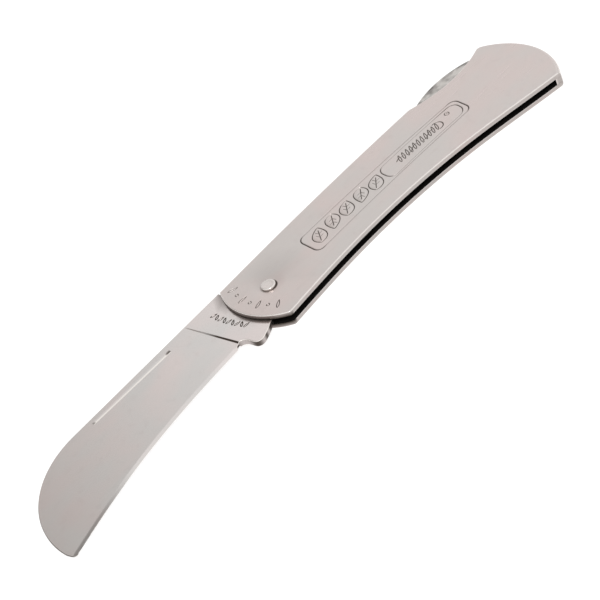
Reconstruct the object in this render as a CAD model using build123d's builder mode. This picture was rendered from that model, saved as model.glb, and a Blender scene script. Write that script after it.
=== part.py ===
"""All-steel folding grafting knife, open and locked, lying on its back cheek.

+X runs from the blade's tip to the butt, +Y is the side of the spines, -Y the side of the
handle's slot and the cutting edge, +Z up through the thickness. The origin is under the
middle of the knife. Every outline is drawn from the pivot, on planes that have it as origin.
"""

import os
from math import radians, tan

from build123d import *

# Handle: one steel sheet folded over at the spine and closed round the butt
SHEET = 1.2                    # thickness of the sheet
GAP = 1.7                      # room between the cheeks
THICK = 2 * SHEET + GAP
FOLD_RADIUS = 1.2              # outside round of the fold
MOUTH_X = -9.6                 # front of the cheeks, on the pivot's level
SPINE_FRONT = (-6.2, 11.0)
SPINE_MIDDLE = (36.0, 10.9)
SPINE_BACK = (89.4, 8.1)
BUTT_MIDDLE = (94.4, -4.9)
BUTT_FOOT = (87.6, -19.6)
BUTT_WALL = 1.5                # the wall is a little thicker where it turns round the butt
SLOT_POINTS = [(78.0, -17.3), (62.0, -13.7), (42.0, -11.0), (18.0, -10.2)]
SLOT_FRONT = (-4.4, -11.4)
SPINE_CORNER = 2.2             # round between spine and butt
SLOT_CORNER = 0.8              # round at the other corners of the cheeks
THUMB_FRONT = (62.8, 9.75)     # hollow in the spine that bares the lock bar
THUMB_BOTTOM = (77.0, 6.3)
THUMB_BACK = (88.6, 8.16)
CUT_HEIGHT = 14.0              # above everything at the spine
WINDOW_FRONT = 63.0            # the folded wall is open from here back to the hollow's end
WINDOW_FLOOR = 5.0

# Blade
BLADE = 1.6
SIDE_PLAY = (GAP - BLADE) / 2
BLADE_RISE = 12.0              # spine of the blade above the pivot
BELLY_RADIUS = 25.0            # round of the spine down to the tip
BELLY_X = -55.6                # where that round begins
TIP = (-80.2, -15.7)
EDGE_POINTS = [(-56.0, -9.7), (-35.0, -6.9)]
HEEL = (-17.9, -5.9)           # cusp where the edge begins
CHOIL = [(-17.1, -5.1), (-15.6, -5.1)]
KICK_BOTTOM = -9.8             # the kick that meets the lock bar when the blade is shut
KICK_BACK = -14.4
KICK_FRONT = -12.4
KICK_ROOT = (-7.4, -7.4)
KICK_ROUND = 0.7
TANG_RADIUS = 7.4
TANG_START = -60               # degrees, where the round end of the tang starts and ends
TANG_END = 90
WAIST_RADIUS = 5.4             # narrower stretch, clear of the lock bar's nose when shut
WAIST_START = 220
WAIST_END = 280
SHOULDER = (-5.0, 9.6)         # the tang runs under the fold as far as this
GRIND_X = -17.0                # the ground part starts here
GRIND_LEAN = 1.4               # degrees between the ground faces and the flats
EDGE_THICK = 0.10
BEVEL_WIDTH = 0.9
BEVEL_DEPTH = 0.42
NICK_LENGTH = 25.4
NICK_WIDTH = 0.9
NICK_DEPTH = 0.35
NICK_MIDDLE = (-38.0, 10.1)
WEDGE_LENGTH = 32.0            # ground width that the wedges cover
FIT = 0.03                     # running clearance on a radius

# Pivot rivet: raised head in front, riveted flush in a countersink behind
PIVOT_SHANK = 3.0
HEAD_BASE = 4.2
HEAD_TOP = 3.5
HEAD_HEIGHT = 0.55
HEAD_ROUND = 0.2
SINK_DIAMETER = 4.4
SINK_DEPTH = 0.7

# Lock bar: rocks on its pin, nose in the notch of the tang, thumb lever at the spine
NOSE_FRONT = 1.6
NOSE_WIDTH = 2.0
NOSE_BOTTOM = 5.75
NOTCH_PLAY = 0.06
ARM_UNDER = 6.9
ARM_TOP_FRONT = 8.15
ARM_TOP_BACK = 9.1
ARM_SLOPE_X = 20.0             # the arm thickens from here towards its pin
BOSS_UNDER = 5.2
LOCK_PIN = (46.0, 6.0)
LOCK_PIN_DIAMETER = 2.4
BOSS_RADIUS = 2.9
LEVER_FOOT = (63.6, 8.1)
LEVER_FRONT = (66.0, 10.2)
LEVER_TOP = (73.3, 11.25)
LEVER_BACK = (85.2, 8.5)
LEVER_UNDER = 6.7

# Leaf spring under the lever, and the pin that carries it
SPRING_PIN = (86.4, 3.2)
SPRING_PIN_DIAMETER = 1.8
STRIP = 0.45
STRIP_WIDTH = 1.4
STRIP_BOW = 0.3
SPRING_TOUCH_X = 67.0
SPRING_TAIL = (88.0, 6.2)

# The outermost points give the place of the pivot over the origin
TIP_REACH = BELLY_X - BELLY_RADIUS
PIVOT_X = -(TIP_REACH + BUTT_MIDDLE[0]) / 2
PIVOT_Y = -(BUTT_FOOT[1] + BLADE_RISE) / 2

floor = Plane(origin=(PIVOT_X, PIVOT_Y, 0))
between = floor.offset(SHEET)
blade_floor = between.offset(SIDE_PLAY)
MIDDLE = THICK / 2

os.makedirs("parts", exist_ok=True)


# Handle shell
with BuildPart() as handle_shell:
    with BuildSketch(floor) as cheek:
        with BuildLine():
            ThreePointArc(SPINE_FRONT, SPINE_MIDDLE, SPINE_BACK)
            ThreePointArc(SPINE_BACK, BUTT_MIDDLE, BUTT_FOOT)
            Spline(BUTT_FOOT, *SLOT_POINTS, SLOT_FRONT)
            ThreePointArc(SLOT_FRONT, (MOUTH_X, 0), SPINE_FRONT)
        make_face()
        fillet(cheek.vertices().group_by(Axis.Y)[-2], SPINE_CORNER)
    extrude(amount=THICK)
    # The fold's outside edges: those of the spine, its corner and the butt, on both faces
    fillet(
        [
            edge
            for edge in handle_shell.edges().filter_by(Plane.XY)
            if edge.center().Y > PIVOT_Y + THUMB_BOTTOM[1] or edge.center().X > PIVOT_X + BUTT_FOOT[0]
        ],
        FOLD_RADIUS,
    )
    # Inside of the fold: the cheek's outline drawn in by one sheet, open at slot and mouth
    with BuildSketch(between):
        with BuildLine():
            lid = ThreePointArc(
                (SPINE_FRONT[0], SPINE_FRONT[1] - SHEET),
                (SPINE_MIDDLE[0], SPINE_MIDDLE[1] - SHEET),
                (SPINE_BACK[0] - SHEET, SPINE_BACK[1] - SHEET),
            )
            back = ThreePointArc(
                lid @ 1,
                (BUTT_MIDDLE[0] - SHEET, BUTT_MIDDLE[1]),
                (BUTT_FOOT[0] - BUTT_WALL, BUTT_FOOT[1]),
            )
            Polyline(
                back @ 1,
                (BUTT_FOOT[0] - BUTT_WALL, 2 * BUTT_FOOT[1]),
                (2 * MOUTH_X, 2 * BUTT_FOOT[1]),
                (2 * MOUTH_X, 2 * BLADE_RISE),
                (SPINE_FRONT[0], 2 * BLADE_RISE),
                lid @ 0,
            )
        make_face()
    extrude(amount=GAP, mode=Mode.SUBTRACT)
    with BuildSketch(floor):
        with BuildLine():
            ThreePointArc(THUMB_FRONT, THUMB_BOTTOM, THUMB_BACK)
            Polyline(
                THUMB_BACK,
                (THUMB_BACK[0], CUT_HEIGHT),
                (THUMB_FRONT[0], CUT_HEIGHT),
                THUMB_FRONT,
            )
        make_face()
    extrude(amount=THICK, mode=Mode.SUBTRACT)
    # Between the cheeks the folded wall is cut square
    with BuildSketch(between):
        with BuildLine():
            Polyline(
                (WINDOW_FRONT, WINDOW_FLOOR),
                (THUMB_BACK[0] - SHEET, WINDOW_FLOOR),
                (THUMB_BACK[0] - SHEET, CUT_HEIGHT),
                (WINDOW_FRONT, CUT_HEIGHT),
                close=True,
            )
        make_face()
    extrude(amount=GAP, mode=Mode.SUBTRACT)
    # Holes for the rivet and the pins, with the rivet's countersink at the back
    with BuildSketch(floor):
        Circle(PIVOT_SHANK / 2)
        with Locations(LOCK_PIN):
            Circle(LOCK_PIN_DIAMETER / 2)
        with Locations(SPRING_PIN):
            Circle(SPRING_PIN_DIAMETER / 2)
    extrude(amount=THICK, mode=Mode.SUBTRACT)
    with BuildSketch(floor):
        Circle(SINK_DIAMETER / 2)
    with BuildSketch(floor.offset(SINK_DEPTH)):
        Circle(PIVOT_SHANK / 2)
    loft(mode=Mode.SUBTRACT)
    slot_corners = handle_shell.edges().filter_by(Axis.Z).filter_by(
        lambda edge: (edge.center() - floor.origin).Y < SLOT_FRONT[1] + 1
    )
    fillet(slot_corners.group_by(Axis.X)[0], SLOT_CORNER)
handle_shell.part.label = "handle_shell"
export_step(handle_shell.part, "parts/handle_shell.step")


# Pivot rivet
with BuildPart() as pivot_rivet:
    with BuildSketch(floor):
        Circle(SINK_DIAMETER / 2)
    with BuildSketch(floor.offset(SINK_DEPTH)):
        Circle(PIVOT_SHANK / 2)
    loft()
    with BuildSketch(floor.offset(SINK_DEPTH)):
        Circle(PIVOT_SHANK / 2)
    extrude(amount=THICK - SINK_DEPTH)
    with BuildSketch(floor.offset(THICK)):
        Circle(HEAD_BASE / 2)
    with BuildSketch(floor.offset(THICK + HEAD_HEIGHT)):
        Circle(HEAD_TOP / 2)
    loft()
    fillet(pivot_rivet.edges().sort_by(Axis.Z)[-1], HEAD_ROUND)
pivot_rivet.part.label = "pivot_rivet"
export_step(pivot_rivet.part, "parts/pivot_rivet.step")


# Blade
with BuildPart() as blade:
    with BuildSketch(blade_floor) as blade_outline:
        with BuildLine():
            belly = CenterArc((BELLY_X, BLADE_RISE - BELLY_RADIUS), BELLY_RADIUS, 90, 90)
            Line(belly @ 1, TIP)
            Spline(TIP, *EDGE_POINTS, HEEL)
            waist = CenterArc((0, 0), WAIST_RADIUS, WAIST_START, WAIST_END - WAIST_START)
            Polyline(
                HEEL,
                *CHOIL,
                (KICK_BACK, KICK_BOTTOM),
                (KICK_FRONT, KICK_BOTTOM),
                KICK_ROOT,
                waist @ 0,
            )
            rear = CenterArc((0, 0), TANG_RADIUS, TANG_START, TANG_END - TANG_START)
            Line(waist @ 1, rear @ 0)
            Polyline(
                rear @ 1,
                SHOULDER,
                (SPINE_FRONT[0] - NOTCH_PLAY, SHOULDER[1]),
                (SPINE_FRONT[0] - NOTCH_PLAY, BLADE_RISE),
                belly @ 0,
            )
        make_face()
        kick_corners = [
            corner for corner in blade_outline.vertices() if abs(corner.Y - KICK_BOTTOM) < FIT
        ]
        fillet(kick_corners, KICK_ROUND)
        with Locations((NOSE_FRONT + NOSE_WIDTH / 2, TANG_RADIUS)):
            Rectangle(
                NOSE_WIDTH + 2 * NOTCH_PLAY,
                2 * (TANG_RADIUS - NOSE_BOTTOM + NOTCH_PLAY),
                mode=Mode.SUBTRACT,
            )
        Circle(PIVOT_SHANK / 2 + FIT, mode=Mode.SUBTRACT)
    extrude(amount=BLADE)
    # Ground faces: a wedge comes off each flat, deepest at the edge
    grind_start = Plane(
        origin=(PIVOT_X + GRIND_X, PIVOT_Y + BLADE_RISE, SHEET + SIDE_PLAY + BLADE / 2),
        x_dir=(0, -1, 0),
        z_dir=(-1, 0, 0),
    )
    with BuildSketch(grind_start):
        with BuildLine():
            Polyline(
                (0, BLADE / 2),
                (WEDGE_LENGTH, BLADE / 2 - WEDGE_LENGTH * tan(radians(GRIND_LEAN))),
                (WEDGE_LENGTH, BLADE),
                (0, BLADE),
                close=True,
            )
        make_face()
        mirror(about=Plane.XZ)
    extrude(amount=-TIP_REACH, mode=Mode.SUBTRACT)
    # Edge bevels: each is a ruled cut from the edge up to a line set in by the bevel's width
    for side in (1, -1):
        for height, set_in in ((EDGE_THICK / 2, 0), (BEVEL_DEPTH, BEVEL_WIDTH)):
            with BuildSketch(floor.offset(MIDDLE + side * height)):
                with BuildLine():
                    bevel = Spline(
                        (TIP[0] - BEVEL_WIDTH, TIP[1] + set_in - BEVEL_WIDTH / 3),
                        *[(x, y + set_in) for x, y in EDGE_POINTS],
                        (HEEL[0] + BEVEL_WIDTH, HEEL[1] + set_in + BEVEL_WIDTH / 5),
                    )
                    Polyline(bevel @ 1, (HEEL[0], 2 * TIP[1]), (TIP[0], 2 * TIP[1]), bevel @ 0)
                make_face()
        loft(ruled=True, mode=Mode.SUBTRACT)
    # Long pull near the spine, in the front flat
    with BuildSketch(blade_floor.offset(BLADE)):
        with Locations(NICK_MIDDLE):
            SlotOverall(NICK_LENGTH, NICK_WIDTH)
    extrude(amount=-NICK_DEPTH, mode=Mode.SUBTRACT)
blade.part.label = "blade"
export_step(blade.part, "parts/blade.step")


# Lock bar
with BuildPart() as lock_bar:
    with BuildSketch(blade_floor):
        with BuildLine():
            nose = Polyline(
                (NOSE_FRONT + NOSE_WIDTH, ARM_UNDER),
                (NOSE_FRONT + NOSE_WIDTH, NOSE_BOTTOM),
                (NOSE_FRONT, NOSE_BOTTOM),
                (NOSE_FRONT, ARM_TOP_FRONT),
                (LOCK_PIN[0] - 2 * BOSS_RADIUS, ARM_TOP_BACK),
                (LOCK_PIN[0] + BOSS_RADIUS, ARM_TOP_BACK),
                LEVER_FOOT,
                LEVER_FRONT,
            )
            lever = ThreePointArc(LEVER_FRONT, LEVER_TOP, LEVER_BACK)
            Polyline(
                lever @ 1,
                (LEVER_BACK[0], LEVER_UNDER),
                (THUMB_FRONT[0], LEVER_UNDER),
                (LOCK_PIN[0] + 2 * BOSS_RADIUS, BOSS_UNDER),
                (LOCK_PIN[0] - 2 * BOSS_RADIUS, BOSS_UNDER),
                (ARM_SLOPE_X, ARM_UNDER),
                nose @ 0,
            )
        make_face()
        with Locations(LOCK_PIN):
            Circle(BOSS_RADIUS)
            Circle(LOCK_PIN_DIAMETER / 2 + FIT, mode=Mode.SUBTRACT)
    extrude(amount=BLADE)
lock_bar.part.label = "lock_bar"
export_step(lock_bar.part, "parts/lock_bar.step")


# Leaf spring: an eye on its pin, a strip forward to the lever and a tail under the fold
eye = STRIP + SPRING_PIN_DIAMETER / 2 + FIT
with BuildPart() as lock_spring:
    with BuildSketch(floor.offset(MIDDLE - STRIP_WIDTH / 2)):
        with BuildLine():
            ThreePointArc(
                (SPRING_PIN[0], SPRING_PIN[1] + eye - STRIP / 2),
                ((SPRING_PIN[0] + SPRING_TOUCH_X) / 2, SPRING_PIN[1] + eye + STRIP_BOW),
                (SPRING_TOUCH_X, LEVER_UNDER - STRIP / 2 - FIT),
            )
            offset(amount=STRIP / 2)
        make_face()
        with BuildLine():
            Line((SPRING_PIN[0] + eye - STRIP / 2, SPRING_PIN[1]), SPRING_TAIL)
            offset(amount=STRIP / 2)
        make_face()
        with Locations(SPRING_PIN):
            Circle(eye)
            Circle(SPRING_PIN_DIAMETER / 2 + FIT, mode=Mode.SUBTRACT)
    extrude(amount=STRIP_WIDTH)
lock_spring.part.label = "lock_spring"
export_step(lock_spring.part, "parts/lock_spring.step")


# Plain pins, riveted and ground flush with both cheeks
for name, (x, y), diameter in (
    ("lock_bar_pin", LOCK_PIN, LOCK_PIN_DIAMETER),
    ("spring_pin", SPRING_PIN, SPRING_PIN_DIAMETER),
):
    with BuildPart() as pin:
        with BuildSketch(floor):
            with Locations((x, y)):
                Circle(diameter / 2)
        extrude(amount=THICK)
    pin.part.label = name
    export_step(pin.part, f"parts/{name}.step")
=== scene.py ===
from cmath import phase
from math import acos, cos, degrees, pi, radians, sin, sqrt, tan

import bmesh
import bpy
import numpy as np
from mathutils import Matrix, Vector
from mathutils.geometry import delaunay_2d_cdt


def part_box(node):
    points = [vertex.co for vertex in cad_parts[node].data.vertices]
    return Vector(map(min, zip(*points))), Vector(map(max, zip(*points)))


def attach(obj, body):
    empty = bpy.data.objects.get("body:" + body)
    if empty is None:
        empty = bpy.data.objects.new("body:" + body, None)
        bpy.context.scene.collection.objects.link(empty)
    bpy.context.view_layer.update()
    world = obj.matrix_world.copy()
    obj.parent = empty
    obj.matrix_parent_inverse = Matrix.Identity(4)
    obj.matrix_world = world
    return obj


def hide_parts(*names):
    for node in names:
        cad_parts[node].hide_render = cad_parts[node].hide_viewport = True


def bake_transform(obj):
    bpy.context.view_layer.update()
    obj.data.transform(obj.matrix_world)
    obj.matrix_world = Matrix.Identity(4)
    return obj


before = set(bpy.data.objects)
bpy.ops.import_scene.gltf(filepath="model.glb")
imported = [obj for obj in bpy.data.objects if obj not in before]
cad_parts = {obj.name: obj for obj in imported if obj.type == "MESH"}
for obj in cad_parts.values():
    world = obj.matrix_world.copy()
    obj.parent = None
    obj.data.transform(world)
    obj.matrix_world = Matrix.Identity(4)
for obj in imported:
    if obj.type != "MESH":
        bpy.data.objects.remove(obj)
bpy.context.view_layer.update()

# Sizes are in millimetres. Plan points are complex numbers drawn from the pivot: the real
# part runs from the blade's tip to the butt, the imaginary part towards the spines.
MM = 0.001


def box_mm(node):
    low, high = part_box(node)
    return [value / MM for value in low], [value / MM for value in high]


rivet_low, rivet_high = box_mm("pivot_rivet")
shell_low, shell_high = box_mm("handle_shell")
blade_low, blade_high = box_mm("blade")
bar_low, bar_high = box_mm("lock_bar")
spring_low, spring_high = box_mm("lock_spring")
PIVOT = complex((rivet_low[0] + rivet_high[0]) / 2, (rivet_low[1] + rivet_high[1]) / 2)

# Folded handle
THICK = shell_high[2]
GAP = 1.7
SHEET = (THICK - GAP) / 2
FOLD_RADIUS = 0.95
EDGE_ROUND = 0.2
LIP_ROUND = 0.06
MOUTH = complex(shell_low[0], 0) - PIVOT.real
SPINE_FRONT = -6.2 + 11.0j
SPINE_MIDDLE = 36.0 + 11.05j
SPINE_BACK = 89.55 + 8.45j
BUTT_MIDDLE = 94.4 - 4.9j
BUTT_FOOT = 87.6 - 19.6j
BUTT_WALL = 1.0
SLOT_POINTS = [78.0 - 17.45j, 62.0 - 13.85j, 42.0 - 11.0j, 18.0 - 10.2j]
SLOT_FRONT = -4.4 - 11.4j
SPINE_CORNER = 2.2
SLOT_CORNER = 0.8
HOLLOW = (62.8 + 9.75j, 77.0 + 6.3j, 88.6 + 8.16j)
PIVOT_DIP = (0.05, 4.5, 2.4)   # depth of the dip round the rivet, its radius and its slope's width
HEAD_RINGS = (1.74, 1.92, 2.1, 2.3, 2.6, 3.1, 3.8, 4.5)
# The side of the rivet head where its painted shadow is darkest
HEAD_SHADOW_SIDE = np.exp(1j * radians(-35))

# The outline's stretches: spine, hollow, butt, slot, front corner, mouth
WALL_STRETCHES = (0, 2)
# Painted shade on the cut faces of the sheet for each stretch, at their outside and their inside; at the
# front corner and the mouth the inside is painted dark as the shadow under the lip
CUT_FACE_SHADE = ((0.0, 0.0), (0.3, 0.3), (0.0, 0.0), (0.3, 0.4), (0.4, 0.95), (0.4, 1.0))  # outside, inside
# Painted shade on the inner part of the foot where the slot ends
FOOT_SHADE = 0.4

# Marks pressed into the front cheek
PANEL_CORNERS = (14.6 + 3.9j, 70.1 + 0.7j, 69.2 - 6.1j, 13.8 - 4.0j)
NAME_CORNERS = (41.6 + 1.7j, 69.1 - 0.1j, 68.0 - 5.3j, 41.0 - 4.0j)
PANEL_BOW = 0.55
LEAF_PATH = (18.4 + 0.1j, 28.4 + 0.6j, 38.4 - 0.8j)
LEAF_RISE = 0.07
TWIG_START = 46.2
TWIG_END = 60.0
TWIG_CURL = 60.6 - 2.0j
SEED_PATH = (47.4 - 0.9j, 53.0 - 1.3j, 60.3 - 2.0j)
RING_MARK = 65.1 - 1.3j
STROKE_PATH = (-4.6 + 7.9j, -8.3 + 0.7j, -3.6 - 6.6j)

# Blade
BLADE_LOW = blade_low[2]
BLADE_HALF = (blade_high[2] - blade_low[2]) / 2
BLADE_MIDDLE = BLADE_LOW + BLADE_HALF
BLADE_RISE = blade_high[1] - PIVOT.imag
BELLY_RADIUS = 25.0
BELLY_X = blade_low[0] - PIVOT.real + BELLY_RADIUS
TIP = -80.2 - 15.7j
EDGE_POINTS = [-56.0 - 9.7j, -35.0 - 6.9j]
HEEL = -17.9 - 5.9j
CHOIL = [-17.15 - 5.15j, -16.4 - 5.0j, -15.6 - 5.3j]
KICK = [-14.75 - 7.2j, -14.3 - 9.3j, -13.3 - 9.8j, -11.6 - 9.45j, -9.6 - 8.6j, -7.6 - 7.5j]
WAIST_RADIUS = 5.4
TANG_RADIUS = 7.4
SHOULDER = -5.0 + 9.6j
SPINE_STEP = -6.26
GRIND_LEAN = 1.4
EDGE_HALF = 0.05
BEVEL_WIDTH = 0.85
GRIND_LINE = (-18.3 + 12.0j, -16.3 - 5.0j)
GRIND_RAMP = 0.28
NICK = (-50.7 + 10.35j, -25.4 + 9.7j)
NICK_HALF = 0.42
NICK_DEPTH = 0.13
NICK_WALL = 0.14               # share of its width that the steep side takes
NICK_END = 0.4
NICK_LENGTH = abs(NICK[1] - NICK[0])
NICK_WAY = (NICK[1] - NICK[0]) / NICK_LENGTH
NOTCH_LEFT = 1.54
NOTCH_RIGHT = 3.66
NOTCH_FLOOR = 5.69
GRAIN_PATH = (-12.3 + 7.6j, -12.7 + 2.6j, -11.2 - 2.6j)

# Pivot rivet and pins
RIVET_SHANK = 1.5
RIVET_TOP = rivet_high[2]
HEAD_RADIUS = 1.81
SINK_RADIUS = 2.2
SINK_DEPTH = 0.7
LOCK_PIN = 46.0 + 6.0j
LOCK_PIN_RADIUS = 1.2
SPRING_PIN = 86.4 + 3.2j
SPRING_PIN_RADIUS = 0.9
PIN_PLAY = 0.03

# Lock bar
LEVER_FRONT = 66.0 + 10.2j
LEVER_TOP = 73.3 + 11.25j
LEVER_BACK = 85.2 + 8.5j
BAR_NOSE = [3.6 + 6.9j, 3.6 + 5.75j, 1.6 + 5.75j, 1.6 + 8.15j]
BAR_TOP = [40.2 + 9.1j, 48.9 + 9.1j, 63.4 + 8.15j, 64.6 + 8.6j]
BAR_TAIL = [85.2 + 7.6j, 84.6 + 6.7j, 62.8 + 6.7j, 51.8 + 5.2j]
BAR_BOSS = [48.4 + 4.4j, 47.4 + 3.5j, 46.0 + 3.1j, 44.6 + 3.5j, 43.6 + 4.4j]
BAR_UNDER = [40.2 + 5.2j, 20.0 + 6.9j]

# Leaf spring
STRIP_THICKNESS = 0.45
STRIP_WIDTH = 1.4
STRIP_ROUND = 0.08
SPRING_TOUCH = 67.0 + 6.42j
SPRING_BOW = 0.95
SPRING_TAIL = [87.75 + 4.4j, 88.0 + 6.15j]


# Camera
VIEW_TILT = 52.0
VIEW_HEADING = 59.05
VIEW_ROLL = -25.0
VIEW_DISTANCE = 0.47627
VIEW_TARGET = (-0.0075, -0.00725, 0.0041)
LENS = 126.0
SENSOR = 36.0

# Studio
SKY_LOW = (0.8, 0.8, 0.8)
SKY_HIGH = (1.0, 1.0, 1.0)
DIM_WALL = (97.0, 46.0)        # azimuth and height of its middle, in degrees
DIM_SPREAD = (16.0, 27.0)      # degrees from there to where it fades
DIM_COLOUR = (0.4, 0.385, 0.37)
FLOOR_HALF = 3.0
FLOOR_GREY = 0.4
FLOOR_GLOW = 0.74


def new_object(name, data):
    obj = bpy.data.objects.new(name, data)
    bpy.context.collection.objects.link(obj)
    return obj


def place_camera():
    data = bpy.data.cameras.new("camera")
    data.lens = LENS
    data.sensor_width = SENSOR
    data.clip_start = 0.01
    camera = new_object("camera", data)
    turn = (
        Matrix.Rotation(radians(VIEW_HEADING - 90), 4, "Z")
        @ Matrix.Rotation(radians(VIEW_TILT), 4, "X")
        @ Matrix.Rotation(radians(VIEW_ROLL), 4, "Z")
    )
    back = Matrix.Translation((0, 0, VIEW_DISTANCE))
    camera.matrix_world = Matrix.Translation(VIEW_TARGET) @ turn @ back
    bpy.context.scene.camera = camera


# Plan drawing

def circle_through(a, b, c):
    ratio = (c - a) / (b - a)
    centre = a + (b - a) * (ratio - abs(ratio) ** 2) / (2j * ratio.imag)
    return centre, abs(a - centre)


def meeting_point(first, second, near):
    """Where two circles cross, on the side nearest to a point."""
    (a, a_radius), (b, b_radius) = first, second
    apart = abs(b - a)
    along = (a_radius ** 2 - b_radius ** 2 + apart ** 2) / (2 * apart)
    across = sqrt(a_radius ** 2 - along ** 2)
    places = [a + (b - a) / apart * (along + side * across * 1j) for side in (1, -1)]
    return min(places, key=lambda place: abs(place - near))


def arc(centre, start, end, count):
    """Points round a centre, the short way from start to end."""
    turn = phase((end - centre) / (start - centre))
    return centre + (start - centre) * np.exp(1j * turn * np.linspace(0, 1, count))


def spread(points, count):
    """The same line with its points evenly apart."""
    points = np.asarray(points, complex)
    lengths = np.concatenate([[0], np.cumsum(np.abs(np.diff(points)))])
    places = np.linspace(0, lengths[-1], count)
    return np.interp(places, lengths, points.real) + 1j * np.interp(places, lengths, points.imag)


def curve_through(points, count):
    """A natural cubic curve through the points."""
    points = np.asarray(points, complex)
    steps = np.abs(np.diff(points))
    places = np.concatenate([[0], np.cumsum(steps)])
    slopes = np.diff(points) / steps
    size = len(points)
    system = np.eye(size)
    right = np.zeros(size, complex)
    for i in range(1, size - 1):
        system[i, i - 1:i + 2] = (steps[i - 1], 2 * (steps[i - 1] + steps[i]), steps[i])
        right[i] = 6 * (slopes[i] - slopes[i - 1])
    bend = np.linalg.solve(system, right)
    drawn = []
    for i in range(size - 1):
        share = max(3, int(count * steps[i] / places[-1]) + 2)
        after = (np.linspace(places[i], places[i + 1], share)[:-1] - places[i]) / steps[i]
        before = 1 - after
        cube = steps[i] ** 2 / 6
        drawn.append(
            before * points[i] + after * points[i + 1]
            + cube * ((before ** 3 - before) * bend[i] + (after ** 3 - after) * bend[i + 1])
        )
    return spread(np.concatenate(drawn + [points[-1:]]), count)


def normals(line, closed=False):
    """Vectors to the left of a line, drawn out at its corners so that an offset keeps its width."""
    line = np.asarray(line, complex)
    if closed:
        before = line - np.roll(line, 1)
        after = np.roll(line, -1) - line
    else:
        steps = np.diff(line)
        before = np.concatenate([steps[:1], steps])
        after = np.concatenate([steps, steps[-1:]])
    before = before / np.abs(before)
    after = after / np.abs(after)
    middle = before + after
    middle = middle / np.abs(middle)
    lean = np.maximum((middle * after.conj()).real, 0.5)
    return 1j * middle / lean


def crossing(line, centre, radius):
    """The first place where a line crosses a circle, and the points of the line on each side of it."""
    outside = np.abs(line - centre) - radius
    i = int(np.nonzero(np.diff(np.sign(outside)))[0][0])
    place = line[i] + (line[i + 1] - line[i]) * outside[i] / (outside[i] - outside[i + 1])
    return place, line[:i + 1], line[i + 1:]


def around(line, distance, steps=5):
    """A closed line round an open one, at a distance, with round ends."""
    side = normals(line)
    swing = np.exp(-1j * np.linspace(0, pi, steps + 2)[1:-1])
    end = line[-1] + distance * side[-1] / abs(side[-1]) * swing
    start = line[0] - distance * side[0] / abs(side[0]) * swing
    return np.concatenate([line + distance * side, end, (line - distance * side)[::-1], start])


def ring(centre, radius, count=40):
    return centre + radius * np.exp(2j * pi * np.arange(count) / count)


def distance_to(points, line, closed):
    """How far each point is from a line."""
    starts = line if closed else line[:-1]
    ends = np.roll(line, -1) if closed else line[1:]
    nearest = np.full(len(points), np.inf)
    for start, end in zip(starts, ends):
        run = end - start
        along = ((points - start) * run.conjugate()).real
        share = np.clip(along / max(abs(run) ** 2, 1e-12), 0, 1)
        nearest = np.minimum(nearest, np.abs(points - start - share * run))
    return nearest


def within(points, loop):
    """Which points lie inside a closed line."""
    inside = np.zeros(len(points), bool)
    for start, end in zip(loop, np.roll(loop, -1)):
        if start.imag == end.imag:
            continue
        spans = (start.imag > points.imag) != (end.imag > points.imag)
        slope = (end.real - start.real) / (end.imag - start.imag)
        reach = start.real + (points.imag - start.imag) * slope
        inside ^= spans & (points.real < reach)
    return inside


def soft(value):
    """A smooth step from 0 to 1."""
    value = np.clip(value, 0, 1)
    return value * value * (3 - 2 * value)


def level(height):
    """The same height at every point."""
    return lambda points: np.full(len(points), height)


# Surfaces

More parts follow.
